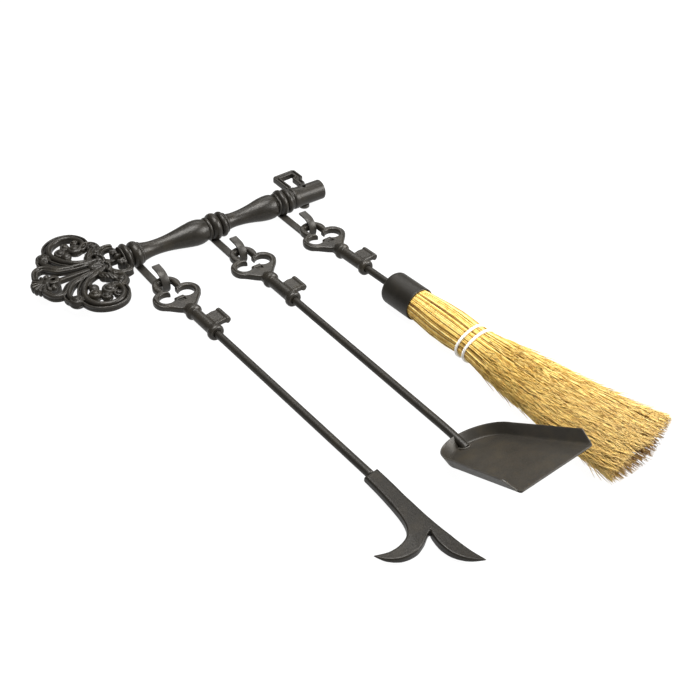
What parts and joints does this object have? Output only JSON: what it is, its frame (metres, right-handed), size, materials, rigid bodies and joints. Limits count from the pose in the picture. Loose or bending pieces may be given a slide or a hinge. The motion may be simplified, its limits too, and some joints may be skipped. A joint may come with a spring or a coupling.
{
  "type": "fireplace tool set",
  "caption": "Key-shaped wall rack whose hooks hold a poker, an ash shovel and a straw hearth broom, each with a small key handle.",
  "frame": {"origin": "centre of the set's outline, on the wall plane that it lies on", "axes": "+X along the rack's bar from the bow to the plain end, -Y the way the tools hang, +Z out of the wall"},
  "size_m": [0.4532, 0.7256, 0.0747],
  "materials": {
    "cast_iron": "graphite grey powder coat over cast iron, fine speckle, satin",
    "black_steel": "graphite grey powder coat over steel rod, strip and sheet, satin",
    "straw": "dry golden broom straw, matt, uneven in colour",
    "white_cord": "off-white twisted binding cord, matt"
  },
  "bodies": {
    "rack": {"rack_shaft": "cast_iron", "rack_bow": "cast_iron", "rack_bit": "cast_iron", "wall_boss_bow": "cast_iron", "wall_boss_end": "cast_iron", "hook_poker": "black_steel", "hook_shovel": "black_steel", "hook_broom": "black_steel", "hook_screw_poker": "black_steel", "hook_screw_shovel": "black_steel", "hook_screw_broom": "black_steel"},
    "poker": {"poker_handle": "cast_iron", "poker_rod": "black_steel", "poker_head": "cast_iron"},
    "shovel": {"shovel_handle": "cast_iron", "shovel_rod": "black_steel", "shovel_pan": "black_steel"},
    "broom": {"broom_handle": "cast_iron", "broom_rod": "black_steel", "broom_ferrule": "black_steel", "broom_bristles": "straw", "broom_cord_upper": "white_cord", "broom_cord_lower": "white_cord"}
  },
  "joints": [
    {"name": "poker_swing", "type": "hinge", "parent": "rack", "child": "poker", "pos_m": [-0.08433, 0.19566, 0.02023], "axis": [-1, 0, 0], "range_deg": [0, 60]},
    {"name": "shovel_swing", "type": "hinge", "parent": "rack", "child": "shovel", "pos_m": [0.02767, 0.19704, 0.02203], "axis": [-1, 0, 0], "range_deg": [0, 60]},
    {"name": "broom_swing", "type": "hinge", "parent": "rack", "child": "broom", "pos_m": [0.13667, 0.19612, 0.02082], "axis": [-1, 0, 0], "range_deg": [0, 60]}
  ]
}
